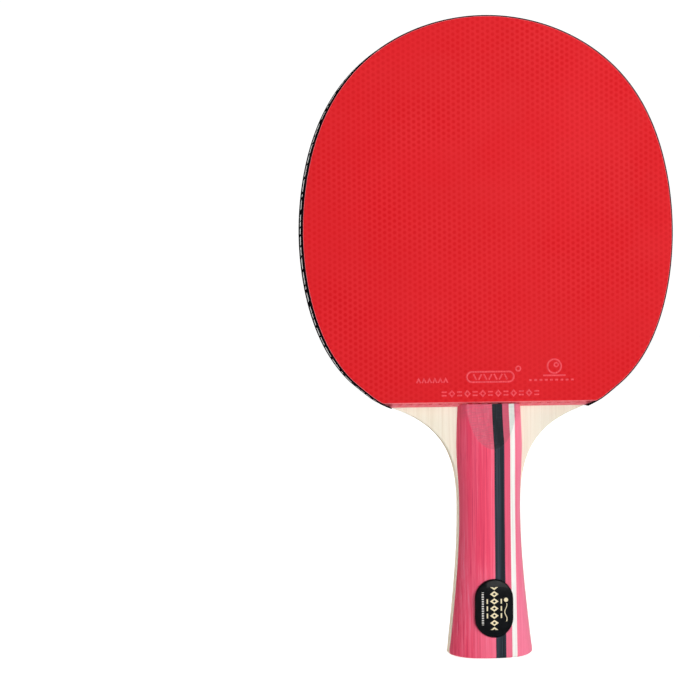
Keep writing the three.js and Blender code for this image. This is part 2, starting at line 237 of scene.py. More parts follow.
def build(name, shell, mats, node, sharp=32.0, weld=1e-5, attrs=None, cut_by=None):
    me = bpy.data.meshes.new(name)
    me.from_pydata([(x * MM, y * MM, z * MM) for x, y, z in shell.v], [], shell.f)
    me.update()
    for i, p in enumerate(me.polygons):
        p.material_index = shell.m[i]
    for m in mats:
        me.materials.append(m)
    for key, values in (attrs or {}).items():
        a = me.attributes.new(key, "FLOAT", "POINT")
        a.data.foreach_set("value", np.asarray(values, np.float32))
    bm = bmesh.new()
    bm.from_mesh(me)
    bmesh.ops.remove_doubles(bm, verts=bm.verts, dist=weld)
    bmesh.ops.dissolve_degenerate(bm, edges=bm.edges, dist=1e-8)
    bmesh.ops.recalc_face_normals(bm, faces=bm.faces)
    bm.to_mesh(me)
    bm.free()
    ob = bpy.data.objects.new(name, me)
    bpy.context.scene.collection.objects.link(ob)
    if cut_by is not None:
        mod = ob.modifiers.new("cut", "BOOLEAN")
        mod.operation, mod.solver, mod.object = "DIFFERENCE", "EXACT", cut_by
        dg = bpy.context.evaluated_depsgraph_get()
        dg.update()
        cut = bpy.data.meshes.new_from_object(ob.evaluated_get(dg))
        ob.modifiers.clear()
        ob.data = cut
        me = cut
    me.polygons.foreach_set("use_smooth", [True] * len(me.polygons))
    me.set_sharp_from_angle(angle=math.radians(sharp))
    # big flat caps keep a plain flat shade
    for p in me.polygons:
        if len(p.vertices) > 12:
            p.use_smooth = False
    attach(ob, "root")
    if node:
        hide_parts(*([node] if isinstance(node, str) else node))
    return ob


# ------------------------------------------------------------------ node maths
class Nodes:
    """A thin helper for building one material's node tree."""

    def __init__(self, name):
        self.mat = bpy.data.materials.new(name)
        self.mat.use_nodes = True
        self.t = self.mat.node_tree
        self.t.nodes.clear()
        self.out = self.t.nodes.new("ShaderNodeOutputMaterial")
        self.bsdf = self.t.nodes.new("ShaderNodeBsdfPrincipled")
        self.t.links.new(self.bsdf.outputs[0], self.out.inputs[0])
        self._co = None

    def node(self, kind, **props):
        n = self.t.nodes.new(kind)
        for k, v in props.items():
            setattr(n, k, v)
        return n

    def put(self, socket, value):
        if hasattr(value, "is_output"):
            self.t.links.new(value, socket)
        elif value is not None:
            if hasattr(socket, "default_value"):
                if socket.type == "RGBA" and len(value) == 3:
                    value = (*value, 1.0)
                socket.default_value = value

    def m(self, op, a, b=None, c=None, clamp=False):
        n = self.node("ShaderNodeMath", operation=op, use_clamp=clamp)
        for s, v in zip(n.inputs, (a, b, c)):
            self.put(s, v)
        return n.outputs[0]

    def co(self):
        """Object coordinates in millimetres, as three sockets and a vector."""
        if self._co is None:
            tc = self.node("ShaderNodeTexCoord")
            v = self.node("ShaderNodeVectorMath", operation="SCALE")
            self.put(v.inputs[0], tc.outputs["Object"])
            v.inputs["Scale"].default_value = 1000.0
            s = self.node("ShaderNodeSeparateXYZ")
            self.put(s.inputs[0], v.outputs[0])
            self._co = (s.outputs[0], s.outputs[1], s.outputs[2], v.outputs[0])
        return self._co

    def vec(self, x, y, z):
        n = self.node("ShaderNodeCombineXYZ")
        for s, v in zip(n.inputs, (x, y, z)):
            self.put(s, v)
        return n.outputs[0]

    def stretch(self, sx, sy, sz, offset=(0, 0, 0)):
        v = self.co()[3]
        a = self.node("ShaderNodeVectorMath", operation="MULTIPLY_ADD")
        self.put(a.inputs[0], v)
        a.inputs[1].default_value = (sx, sy, sz)
        a.inputs[2].default_value = offset
        return a.outputs[0]

    def noise(self, vector, scale=1.0, detail=2.0, rough=0.5, distortion=0.0, color=False):
        n = self.node("ShaderNodeTexNoise")
        self.put(n.inputs["Vector"], vector)
        n.inputs["Scale"].default_value = scale
        n.inputs["Detail"].default_value = detail
        n.inputs["Roughness"].default_value = rough
        n.inputs["Distortion"].default_value = distortion
        return n.outputs["Color" if color else "Fac"]

    def voronoi(self, vector, scale=1.0, feature="F1", rand=1.0, out="Distance"):
        n = self.node("ShaderNodeTexVoronoi", feature=feature)
        self.put(n.inputs["Vector"], vector)
        n.inputs["Scale"].default_value = scale
        n.inputs["Randomness"].default_value = rand
        return n.outputs[out]

    def map(self, v, a, b, c=0.0, d=1.0, smooth=True):
        n = self.node("ShaderNodeMapRange")
        n.interpolation_type = "SMOOTHSTEP" if smooth else "LINEAR"
        self.put(n.inputs["Value"], v)
        for k, x in (("From Min", a), ("From Max", b), ("To Min", c), ("To Max", d)):
            self.put(n.inputs[k], x)
        return n.outputs[0]

    def ramp(self, v, stops, mode="LINEAR"):
        n = self.node("ShaderNodeValToRGB")
        self.put(n.inputs[0], v)
        cr = n.color_ramp
        cr.interpolation = mode
        while len(cr.elements) > 1:
            cr.elements.remove(cr.elements[-1])
        for i, (p, c) in enumerate(stops):
            e = cr.elements[0] if i == 0 else cr.elements.new(p)
            e.position = p
            e.color = (*c, 1.0) if len(c) == 3 else c
        return n.outputs[0]

    def mix(self, fac, a, b, blend="MIX"):
        n = self.node("ShaderNodeMix", data_type="RGBA", blend_type=blend)
        self.put(n.inputs[0], fac)
        self.put(n.inputs[6], a)
        self.put(n.inputs[7], b)
        return n.outputs[2]

    def bump(self, height, strength=1.0, distance=0.001, normal=None):
        """height is in millimetres."""
        n = self.node("ShaderNodeBump")
        n.inputs["Strength"].default_value = strength
        n.inputs["Distance"].default_value = distance
        self.put(n.inputs["Height"], height)
        if normal is not None:
            self.put(n.inputs["Normal"], normal)
        return n.outputs[0]

    def attr(self, name):
        n = self.node("ShaderNodeAttribute", attribute_name=name)
        return n.outputs["Fac"]

    def set(self, **kw):
        for k, v in kw.items():
            self.put(self.bsdf.inputs[k.replace("_", " ")], v)
        return self


def srgb(r, g, b):
    """0-255 display values to scene-linear."""
    def f(c):
        c /= 255.0
        return c / 12.92 if c <= 0.04045 else ((c + 0.055) / 1.055) ** 2.4
    return (f(r), f(g), f(b))


# ------------------------------------------------------------------ materials
def lattice(n, x, z):
    """Distance in mm from the nearest pip centre of the hexagonal lattice."""
    def cell(px, pz):
        u = n.m("WRAP", px, PIP_COL, -PIP_COL)
        w = n.m("WRAP", pz, PIP_PITCH / 2, -PIP_PITCH / 2)
        return n.m("SQRT", n.m("ADD", n.m("MULTIPLY", u, u), n.m("MULTIPLY", w, w)))
    a = cell(x, z)
    b = cell(n.m("ADD", x, PIP_COL), n.m("ADD", z, PIP_PITCH / 2))
    return n.m("MINIMUM", a, b)


def rubber_material(name, base, dot, low, rough, dot_strength):
    n = Nodes(name)
    x, y, z, v = n.co()
    d = lattice(n, x, z)
    inside = n.map(d, 0.35, 1.05, 1.0, 0.0)
    # the pips read stronger in some places than others
    patch = n.noise(v, 0.035, 2.0)
    vary = n.map(patch, 0.3, 0.7, 0.65, 1.1)
    fac = n.m("MULTIPLY", n.m("MULTIPLY", inside, vary), dot_strength)
    grain = n.noise(n.stretch(1, 1, 1), 2.2, 3.0, 0.6)
    cloud = n.noise(v, 0.02, 2.0)
    c0 = n.mix(n.map(cloud, 0.3, 0.7), base, low)
    c1 = n.mix(fac, c0, dot)
    c2 = n.mix(n.map(grain, 0.42, 0.72, 0.0, 0.16), c1, dot)
    n.set(Base_Color=c2)
    smudge = n.noise(v, 0.06, 3.0, 0.6)
    r = n.m("ADD", n.map(smudge, 0.35, 0.7, rough - 0.04, rough + 0.06),
            n.map(grain, 0.3, 0.7, -0.03, 0.03))
    n.set(Roughness=r)
    n.bsdf.inputs["IOR"].default_value = 1.5
    n.bsdf.inputs["Specular IOR Level"].default_value = 0.09
    h = n.m("ADD", n.m("MULTIPLY", inside, 0.010), n.m("MULTIPLY", grain, 0.006))
    n.set(Normal=n.bump(h, 1.0, 0.001))
    return n.mat


def cut_rubber_material(name, light, dark):
    """The knife-cut edge of a sheet: paler, with fine drag lines. Its darker copy for the pips is painted shade, and
    its paler copy for the raised marks is a painted highlight.
    """
    n = Nodes(name)
    streak = n.noise(n.stretch(3.0, 0.6, 0.6), 1.0, 3.0, 0.6)
    c = n.mix(n.map(streak, 0.3, 0.7), light, dark)
    n.set(Base_Color=c, Roughness=n.map(streak, 0.3, 0.7, 0.5, 0.68))
    n.bsdf.inputs["Specular IOR Level"].default_value = 0.3
    n.set(Normal=n.bump(n.m("MULTIPLY", streak, 0.03), 1.0, 0.001))
    return n.mat


def sponge_material():
    n = Nodes("sponge")
    x, y, z, v = n.co()
    cell = n.voronoi(v, 4.2)
    big = n.voronoi(v, 1.9)
    pore = n.m("ADD", n.map(cell, 0.05, 0.35, 1.0, 0.0), n.m("MULTIPLY", n.map(big, 0.05, 0.3, 1.0, 0.0), 0.6), clamp=True)
    tone = n.noise(v, 0.5, 2.0)
    base = n.mix(n.map(tone, 0.3, 0.7), srgb(255, 142, 152), srgb(255, 120, 134))
    # the pores are painted darker: painted shade inside the open cells; their roughness and dent are their own relief
    c = n.mix(n.m("MULTIPLY", pore, 0.55), base, srgb(196, 66, 84))
    n.set(Base_Color=c, Roughness=n.map(pore, 0, 1, 0.82, 0.95))
    n.bsdf.inputs["Specular IOR Level"].default_value = 0.2
    n.set(Normal=n.bump(n.m("MULTIPLY", pore, -0.12), 1.0, 0.001))
    return n.mat


def veneer_material(name, light, mid, dark, seed=0.0, across="x", rough=0.5):
    """Pale veneer whose grain runs up the paddle."""
    n = Nodes(name)
    x, y, z, v = n.co()
    o = (seed, seed * 1.7, seed * 0.37)
    warp = n.noise(n.stretch(0.05, 0.05, 0.012, o), 1.0, 2.0)
    wx = n.m("ADD", x, n.m("MULTIPLY", warp, 3.0))
    def lane(sx, sz, detail, r=0.55):
        return n.noise(n.vec(n.m("ADD", n.m("MULTIPLY", wx, sx), seed), n.m("MULTIPLY", y, sx),
                             n.m("MULTIPLY", z, sz)), 1.0, detail, r)
    broad = lane(0.22, 0.006, 3.0)
    fine = lane(1.6, 0.02, 4.0, 0.65)
    fibre = lane(7.0, 0.09, 2.0, 0.6)
    pore = n.voronoi(n.stretch(2.6, 2.6, 0.16, o), 1.0)
    pores = n.map(pore, 0.04, 0.16, 1.0, 0.0)
    c = n.mix(n.map(broad, 0.3, 0.7), light, mid)
    c = n.mix(n.map(fine, 0.40, 0.78, 0.0, 0.55), c, dark)
    c = n.mix(n.map(fibre, 0.5, 0.8, 0.0, 0.22), c, dark)
    c = n.mix(n.m("MULTIPLY", pores, 0.22), c, tuple(0.62 * k for k in dark))
    # beyond x = 12 mm the veneer is painted darker: painted shade that evens out the stronger key light on that side
    c = n.mix(n.map(x, 12.0, 30.0, 0.0, 0.12), c, tuple(0.25 * k for k in mid))
    n.set(Base_Color=c, Roughness=n.map(fine, 0.3, 0.7, rough - 0.05, rough + 0.08))
    n.bsdf.inputs["Specular IOR Level"].default_value = 0.35
    h = n.m("ADD", n.m("MULTIPLY", fine, 0.03),
            n.m("ADD", n.m("MULTIPLY", fibre, 0.012), n.m("MULTIPLY", pores, -0.03)))
    n.set(Normal=n.bump(h, 1.0, 0.001))
    return n.mat


def dyed_material(name, light, mid, dark, dull, shine, seed=0.0, spec=0.2, rough=0.42, fleck=0.35,
                  outer_sheen=0.0):
    """Dyed and sanded laminated wood; the scooped part is duller and shows end grain."""
    n = Nodes(name)
    x, y, z, v = n.co()
    warp = n.noise(n.stretch(0.06, 0.06, 0.014, (seed, 0, seed)), 1.0, 2.0)
    wx = n.m("ADD", x, n.m("MULTIPLY", warp, 2.2))
    def lane(sx, sz, detail, r=0.55, s=0.0):
        return n.noise(n.vec(n.m("ADD", n.m("MULTIPLY", wx, sx), seed + s), n.m("MULTIPLY", y, sx * 0.35),
                             n.m("MULTIPLY", z, sz)), 1.0, detail, r)
    broad = lane(0.55, 0.010, 3.0)
    line = lane(1.7, 0.012, 4.0, 0.70, 5.0)
    fibre = lane(8.0, 0.09, 3.0, 0.6, 9.0)
    blotch = n.noise(n.stretch(0.10, 0.10, 0.035, (seed, 3, 1)), 1.0, 3.0)
    c = n.mix(n.map(broad, 0.32, 0.68), light, mid)
    c = n.mix(n.map(line, 0.48, 0.68, 0.0, 0.85), c, dark)
    c = n.mix(n.map(line, 0.46, 0.32, 0.0, 0.80), c, shine)
    c = n.mix(n.map(blotch, 0.45, 0.75, 0.0, 0.35), c, mid)
    pore = n.voronoi(n.stretch(2.4, 2.4, 0.11, (seed, 1, 2)), 1.0)
    pores = n.m("MULTIPLY", n.map(pore, 0.04, 0.17, 1.0, 0.0), fleck)
    c = n.mix(pores, c, tuple(0.55 * k for k in dark))
    c = n.mix(n.map(fibre, 0.52, 0.8, 0.0, 0.30), c, dark)
    # the narrow outer lamination is painted paler: a painted sheen for the glare of the side light on that strip
    outer = n.m("MULTIPLY", n.m("MULTIPLY", x, n.m("SIGN", y)), -1.0)
    outer_sheen_mask = n.m("MULTIPLY", n.map(outer, 9.55, 9.65, 0.0, 1.0), outer_sheen)
    c = n.mix(outer_sheen_mask, c, srgb(243, 148, 178))
    # the narrow middle lamination is a shade duller; towards the butt, below z = 44 mm, the centre and right of the
    # handle are painted lighter, a painted highlight for light bounced up from the floor
    if outer_sheen:
        inner = n.m("MULTIPLY", n.map(outer, 4.75, 4.85, 0.0, 1.0), n.map(outer, 7.35, 7.45, 1.0, 0.0))
        c = n.mix(n.m("MULTIPLY", inner, 0.55), c, srgb(212, 92, 122))
        lower_bounce_highlight = n.m("MULTIPLY", n.map(z, 44.0, 16.0, 0.0, 0.42), n.map(outer, -11.0, -3.0, 0.05, 1.0))
        c = n.mix(lower_bounce_highlight, c, srgb(255, 134, 164))
    cut = n.attr("cut")
    drag = n.noise(n.stretch(0.5, 0.5, 2.6), 1.0, 3.0)
    c = n.mix(n.m("MULTIPLY", cut, n.map(drag, 0.3, 0.7, 0.45, 0.85)), c, dull)
    n.set(Base_Color=c)
    r = n.m("ADD", n.map(line, 0.3, 0.7, rough - 0.04, rough + 0.08), n.m("MULTIPLY", cut, 0.16))
    n.set(Roughness=r)
    n.bsdf.inputs["Specular IOR Level"].default_value = spec
    n.bsdf.inputs["Coat Weight"].default_value = 0.05
    n.bsdf.inputs["Coat Roughness"].default_value = 0.28
    h = n.m("ADD", n.m("MULTIPLY", line, 0.035),
            n.m("ADD", n.m("MULTIPLY", fibre, 0.015), n.m("MULTIPLY", pores, -0.04)))
    n.set(Normal=n.bump(h, 1.0, 0.001))
    return n.mat


def tape_material():
    """Black edge tape with a row of plain white slanted dashes."""
    n = Nodes("edge_tape")
    x, y, z, v = n.co()
    arc = n.attr("arc")
    width = n.attr("across")
    side = n.m("SUBTRACT", arc, n.m("MULTIPLY", width, 0.18))
    period = 37.0
    u = n.m("DIVIDE", n.m("WRAP", side, period, 0.0), period)
    marks = [(0.8, 2.3), (3.5, 1.9), (6.2, 2.2), (9.4, 3.4), (13.6, 3.4), (18.0, 4.4), (23.6, 4.8), (29.6, 1.0), (32.0, 3.6)]
    stops = [(0.0, (0, 0, 0))]
    for start, length in marks:
        stops.append((start / period, (1, 1, 1)))
        stops.append(((start + length) / period, (0, 0, 0)))
    on = n.ramp(u, stops, "CONSTANT")
    band = n.map(n.m("ABSOLUTE", n.m("ADD", width, 0.9)), 1.35, 1.45, 1.0, 0.0)
    fade = n.map(n.noise(v, 1.6, 3.0, 0.6), 0.30, 0.5, 0.80, 1.0)
    ink = n.m("MULTIPLY", n.m("MULTIPLY", on, band), fade)
    weave = n.m("MULTIPLY", n.m("SINE", n.m("MULTIPLY", arc, 14.0)), n.m("SINE", n.m("MULTIPLY", width, 14.0)))
    wear = n.noise(v, 0.35, 4.0, 0.6)
    base = n.mix(n.map(wear, 0.45, 0.8, 0.0, 0.5), (0.004, 0.004, 0.005), (0.010, 0.0105, 0.012))
    c = n.mix(ink, base, (0.90, 0.90, 0.88))
    n.set(Base_Color=c, Roughness=n.map(wear, 0.3, 0.7, 0.55, 0.70))
    n.bsdf.inputs["Specular IOR Level"].default_value = 0.0
    h = n.m("ADD", n.m("MULTIPLY", weave, 0.006), n.m("ADD", n.m("MULTIPLY", wear, 0.02), n.m("MULTIPLY", ink, 0.01)))
    n.set(Normal=n.bump(h, 1.0, 0.001))
    return n.mat


def badge_material():
    """Black gloss with a plain gold motif: a chain of lozenges between two fine rows."""
    n = Nodes("badge_dome")
    x, y, z, v = n.co()
    dz = n.m("SUBTRACT", z, BADGE_Z)

    def less(a, b, soft=0.05):
        return n.map(n.m("SUBTRACT", a, b), -soft, soft, 1.0, 0.0)

    def rows(pitch, half_len, half_h, cx, half_w):
        w = n.m("ABSOLUTE", n.m("WRAP", dz, pitch / 2, -pitch / 2))
        a = less(w, half_h)
        b = less(n.m("ABSOLUTE", n.m("SUBTRACT", x, cx)), half_w)
        c = less(n.m("ABSOLUTE", dz), half_len)
        return n.m("MULTIPLY", n.m("MULTIPLY", a, b), c)

    # lozenge chain down the middle
    pitch = 2.9
    w = n.m("ABSOLUTE", n.m("WRAP", dz, pitch / 2, -pitch / 2))
    u = n.m("ABSOLUTE", n.m("ADD", x, 0.1))
    loz = n.m("ADD", n.m("DIVIDE", w, 1.25), n.m("DIVIDE", u, 1.75))
    chain = n.m("MULTIPLY", less(loz, 1.0, 0.03), less(n.m("ABSOLUTE", dz), 8.6))
    hollow = n.m("MULTIPLY", less(loz, 0.42, 0.03), 1.0)
    chain = n.m("SUBTRACT", chain, hollow, clamp=True)
    bars = rows(2.9, 4.2, 0.95, 2.75, 0.28)
    bars2 = rows(2.9, 4.2, 0.95, -2.95, 0.28)
    ticks = rows(0.95, 6.6, 0.27, -4.75, 0.42)
    # a ball and its path, right of the chain
    bx = n.m("SUBTRACT", x, 4.7)
    bz = n.m("SUBTRACT", dz, 3.4)
    ball = less(n.m("SQRT", n.m("ADD", n.m("MULTIPLY", bx, bx), n.m("MULTIPLY", bz, bz))), 0.85, 0.04)
    path = n.m("MULTIPLY", less(n.m("ABSOLUTE", n.m("SUBTRACT", n.m("SUBTRACT", x, 4.6),
               n.m("MULTIPLY", n.m("SINE", n.m("MULTIPLY", dz, 1.1)), 0.45))), 0.16, 0.04),
               n.m("MULTIPLY", less(n.m("ABSOLUTE", n.m("ADD", dz, 1.6)), 3.6), 1.0))
    gold = n.m("MAXIMUM", chain, n.m("MAXIMUM", bars, n.m("MAXIMUM", bars2, n.m("MAXIMUM", ball, path))))
    speck = n.noise(v, 6.0, 2.0)
    gold_c = n.mix(n.map(speck, 0.35, 0.65), (0.83, 0.70, 0.42), (0.93, 0.86, 0.62))
    black = n.mix(n.map(n.noise(v, 0.4, 2.0), 0.3, 0.7), (0.002, 0.003, 0.004), (0.005, 0.006, 0.008))
    c = n.mix(gold, black, gold_c)
    c = n.mix(ticks, c, (0.72, 0.72, 0.68))
    n.set(Base_Color=c)
    n.set(Roughness=n.map(n.noise(v, 0.9, 3.0), 0.3, 0.7, 0.16, 0.24))
    n.bsdf.inputs["Coat Weight"].default_value = 0.07
    n.bsdf.inputs["Coat Roughness"].default_value = 0.04
    n.bsdf.inputs["Specular IOR Level"].default_value = 0.04
    n.set(Normal=n.bump(n.m("MULTIPLY", n.noise(v, 0.25, 2.0), 0.03), 1.0, 0.001))
    return n.mat


def label_material():
    n = Nodes("badge_label")
    x, y, z, v = n.co()
    g = n.noise(v, 3.0, 3.0)
    n.set(Base_Color=n.mix(n.map(g, 0.3, 0.7), (0.007, 0.008, 0.010), (0.016, 0.017, 0.02)),
          Roughness=n.map(g, 0.3, 0.7, 0.35, 0.5))
    n.set(Normal=n.bump(n.m("MULTIPLY", g, 0.01), 1.0, 0.001))
    return n.mat


M_RED = rubber_material("red_rubber", srgb(227, 33, 42), srgb(217, 15, 26), srgb(223, 31, 39), 0.52, 0.9)
M_BLACK = rubber_material("black_rubber", srgb(30, 31, 34), srgb(22, 23, 26), srgb(33, 34, 37), 0.44, 0.8)
M_RED_CUT = cut_rubber_material("red_rubber_cut", srgb(255, 138, 146), srgb(255, 112, 124))
M_BLACK_CUT = cut_rubber_material("black_rubber_cut", srgb(58, 58, 62), srgb(36, 36, 40))
# the pips material is a darker copy of the cut rubber: painted shade for the gaps between the pips
M_RED_PIP_SHADE = cut_rubber_material("red_rubber_pips_painted_shade", srgb(246, 76, 92), srgb(222, 50, 66))
M_BLACK_PIP_SHADE = cut_rubber_material("black_rubber_pips_painted_shade", srgb(20, 20, 22), srgb(12, 12, 14))
# the marks material is a paler copy of the rubber: a painted highlight on the raised marks
M_RED_CREST_HIGHLIGHT = cut_rubber_material("red_rubber_marks_painted_highlight", srgb(250, 92, 102), srgb(236, 66, 78))
M_BLACK_CREST_HIGHLIGHT = cut_rubber_material("black_rubber_marks_painted_highlight", srgb(74, 74, 78), srgb(56, 56, 60))
M_SPONGE = sponge_material()
M_FACE = veneer_material("blade_face_wood", srgb(251, 247, 229), srgb(246, 240, 218), srgb(229, 218, 192), 0.0)
M_INNER = veneer_material("blade_inner_wood", srgb(228, 206, 172), srgb(216, 190, 152), srgb(196, 166, 126), 21.0)
M_CORE = veneer_material("blade_core_wood", srgb(238, 222, 194), srgb(230, 210, 176), srgb(208, 184, 146), 43.0, rough=0.6)
M_PINK = dyed_material("red_dyed_wood", srgb(255, 99, 132), srgb(252, 78, 113), srgb(224, 48, 86), srgb(198, 90, 112), srgb(255, 138, 166), 3.0, outer_sheen=0.5)
M_DARK = dyed_material("black_dyed_wood", srgb(48, 57, 69), srgb(30, 36, 44), srgb(20, 24, 30), srgb(28, 33, 38), srgb(62, 73, 88), 17.0, fleck=0.2, spec=0.08)
M_WHITE = dyed_material("white_wood", srgb(252, 251, 248), srgb(246, 243, 238), srgb(232, 226, 218), srgb(214, 222, 214), srgb(255, 254, 252), 31.0, fleck=0.12)
M_TAPE = tape_material()
M_DOME = badge_material()
M_LABEL = label_material()


# ------------------------------------------------------------------ blade plies
def ply(name, y0, y1, r_at_y1, mat, node):
    """One ply. Its outer edge at y1 is sanded round by r_at_y1."""
    s = Shell()
    sign = 1 if y1 > y0 else -1
    prof = [(0.0, y0)]
    if r_at_y1 > 0:
        r = r_at_y1
        prof.append((0.0, y1 - sign * r))
        for k in range(1, 6):
            a = math.pi / 2 * k / 5
            prof.append((r * 1.1 * (1 - math.cos(a)), y1 - sign * r + sign * r * math.sin(a)))
    else:
        prof.append((0.0, y1))
    s.rings([xz(inset(blade_loop, d), y) for d, y in prof])
    return build(name, s, [mat], node)


ply("blade_core_fine", -CORE_HALF, CORE_HALF, 0, M_CORE, "blade_core")
ply("blade_inner_ply_front_fine", -CORE_HALF, -INNER_OUT, 0, M_INNER, "blade_inner_ply_front")
ply("blade_inner_ply_back_fine", CORE_HALF, INNER_OUT, 0, M_INNER, "blade_inner_ply_back")
ply("blade_face_ply_front_fine", -INNER_OUT, -FACE_OUT, 0.42, M_FACE, "blade_face_ply_front")
ply("blade_face_ply_back_fine", INNER_OUT, FACE_OUT, 0.42, M_FACE, "blade_face_ply_back")


# ------------------------------------------------------------------ rubbers
def cut_z(y):
    """Height of the slanted lower cut at a distance |y| from the mid-plane."""
    return CUT_Z + CUT_RISE * (abs(y) - FACE_OUT) / (TOP_OUT - FACE_OUT)


UPPER = [p for p in blade_right if p[1] > 105.2]


def sheet_ring(y, d=0.0, low=None, across=24):
    """The outline of a sheet at |y|, cut straight across at its lower edge."""
    z0 = cut_z(y) if low is None else low
    right = [p.copy() for p in UPPER]
    for z in np.linspace(105.0, z0 + d * 0.0, 9):
        zz = max(z, z0)
        right.append(np.array([rim_x(zz), zz]))
    x_end = right[-1][0]
    right[-1][1] = z0
    for k in range(1, across + 1):
        right.append(np.array([x_end * (1 - k / across), z0]))
    loop = mirrored(right, top=True, bottom=True)
    return inset(loop, d) if abs(d) > 1e-9 else loop


def ridge(path, width, height, base_y, closed=True):
    """A raised line with sloping sides along a path in the face, as its own closed shell."""
    p = np.asarray(path, float)
    h = width / 2
    k = h + 0.16
    prof = [(-k, 0.06), (-k, -0.012), (-h, -0.014), (-h * 0.86, -height * 0.55), (-h * 0.5, -height * 0.95),
            (0, -height), (h * 0.5, -height * 0.95), (h * 0.86, -height * 0.55), (h, -0.014), (k, -0.012), (k, 0.06)]
    # material slot of each band of faces: the upper sides and top take the marks material (3), a painted highlight,
    # and the flat flanges at the foot take the darker pips material (2), a painted shade round each mark
    tone = [2, 2, 0, 3, 3, 3, 3, 0, 2, 2, 0]
    s = Shell()
    n = len(p)
    strips = []
    for off, dy in prof:
        q = inset(p, off, closed)
        strips.append([(a[0], base_y + dy, a[1]) for a in q])
    m = len(prof)
    verts = [strips[j][i] for i in range(n) for j in range(m)]
    faces, mats = [], []
    last = n if closed else n - 1
    for i in range(last):
        k = (i + 1) % n
        for j in range(m):
            l = (j + 1) % m
            faces.append((i * m + j, i * m + l, k * m + l, k * m + j))
            mats.append(tone[j])
    if not closed:
        faces.append(tuple(range(m)))
        faces.append(tuple((n - 1) * m + j for j in reversed(range(m))))
        mats += [0, 0]
    s.add(verts, faces)
    s.m = mats
    return s


def pill_path(x0, x1, z0, z1, steps=8):
    r = (z1 - z0) / 2
    zc = (z0 + z1) / 2
    pts = []
    for k in range(steps + 1):
        a = -math.pi / 2 + math.pi * k / steps
        pts.append((x1 - r + r * math.cos(a), zc + r * math.sin(a)))
    for k in range(steps + 1):
        a = math.pi / 2 + math.pi * k / steps
        pts.append((x0 + r + r * math.cos(a), zc + r * math.sin(a)))
    return pts


def ring_path(cx, cz, r, steps=24):
    return [(cx + r * math.cos(2 * math.pi * k / steps), cz + r * math.sin(2 * math.pi * k / steps)) for k in range(steps)]


def marks():
    """Plain geometric relief near the lower edge: framed bars, a ring and rows of beads."""
    out = []
    w, h = 0.46, 0.19
    y = -TOP_OUT
    # left: a short row of small chevrons
    for k in range(6):
        x = -30.0 + k * 2.2
        out.append(ridge([(x, 110.9), (x + 0.8, 112.5), (x + 1.6, 110.9)], 0.36, 0.16, y, False))
    # middle: a framed bar with upright ribs, and a small ring above its end
    out.append(ridge(pill_path(-9.6, 9.6, 111.0, 115.1), w, h, y))
    for k in range(7):
        x = -6.3 + k * 2.1
        lean = 0.6 if k % 2 else -0.6
        out.append(ridge([(x - lean, 111.9), (x + lean, 114.2)], 0.42, 0.17, y, False))
    out.append(ridge(ring_path(11.4, 116.2, 0.95, 14), 0.34, 0.16, y))
    # right: a ring with a ball in it, over a rule and a row of beads
    out.append(ridge(ring_path(26.2, 117.0, 2.8), w, h, y))
    out.append(ridge(ring_path(27.0, 117.6, 0.8, 12), 0.36, 0.17, y))
    out.append(ridge([(21.6, 113.3), (30.8, 113.3)], 0.42, 0.17, y, False))
    for k in range(9):
        x = 15.8 + k * 2.15
        out.append(ridge([(x, 111.5), (x + 1.15, 111.5)], 0.55, 0.16, y, False))
    # lower: a long row of alternating bars and diamonds
    for k in range(13):
        x = -18.9 + k * 3.15
        if k % 2:
            out.append(ridge([(x - 1.0, 106.4), (x, 107.5), (x + 1.0, 106.4), (x, 105.3)], 0.36, 0.17, y))
        else:
            out.append(ridge([(x - 1.0, 107.1), (x + 1.0, 107.1)], 0.38, 0.17, y, False))
            out.append(ridge([(x - 1.0, 105.7), (x + 1.0, 105.7)], 0.38, 0.17, y, False))
    return out


PIP_ROWS = 1.0      # how far up from the cut the separate pips go


def pips():
    """The first rows of pips behind the lower cut, each trimmed by the slanted cut."""
    out = []
    normal = Vector((0, CUT_RISE, TOP_OUT - FACE_OUT)).normalized()
    point = Vector((0, -FACE_OUT, CUT_Z))
    n = Vector((0.0, CUT_RISE, TOP_OUT - FACE_OUT)).normalized()
    for i in range(-24, 25):
        for j in range(40, 54):
            x = i * PIP_COL
            z = (j + (0.5 if i % 2 else 0.0)) * PIP_PITCH
            if not cut_z(PIP_TOP) - 1.6 < z < cut_z(SPONGE_OUT) + PIP_ROWS:
                continue
            if abs(x) > rim_x(max(z, 101.0)) - 1.0:
                continue
            bm = bmesh.new()
            seg = 14
            rings = []
            for y, r in ((-PIP_TOP - 0.02, 0.98), (-PIP_TOP + 0.12, 0.88), (-PIP_TOP + 0.30, 0.82), (-SPONGE_OUT - 0.06, 0.76), (-SPONGE_OUT - 0.001, 0.70)):
                rings.append([bm.verts.new((x + r * math.cos(2 * math.pi * k / seg), y, z + r * math.sin(2 * math.pi * k / seg))) for k in range(seg)])
            for a, b in zip(rings, rings[1:]):
                for k in range(seg):
                    bm.faces.new((a[k], a[(k + 1) % seg], b[(k + 1) % seg], b[k]))
            bm.faces.new(rings[0][::-1])
            bm.faces.new(rings[-1])
            res = bmesh.ops.bisect_plane(bm, geom=bm.verts[:] + bm.edges[:] + bm.faces[:], plane_co=point,
                                         plane_no=n, clear_inner=True, clear_outer=False)
            edges = [e for e in res["geom_cut"] if isinstance(e, bmesh.types.BMEdge)]
            cutf = []
            if edges:
                made = bmesh.ops.contextual_create(bm, geom=edges)
                cutf = [f for f in made["faces"]]
            if len(bm.verts) >= 4 and len(bm.faces) >= 4:
                bm.verts.index_update()
                cutset = set(cutf)
                s = Shell()
                s.v = [tuple(v.co) for v in bm.verts]
                # every pip face takes the pips material (2), whose darker colour is painted shade
                for f in bm.faces:
                    s.f.append(tuple(v.index for v in f.verts))
                    s.m.append(2)
                out.append(s)
            bm.free()
    return out


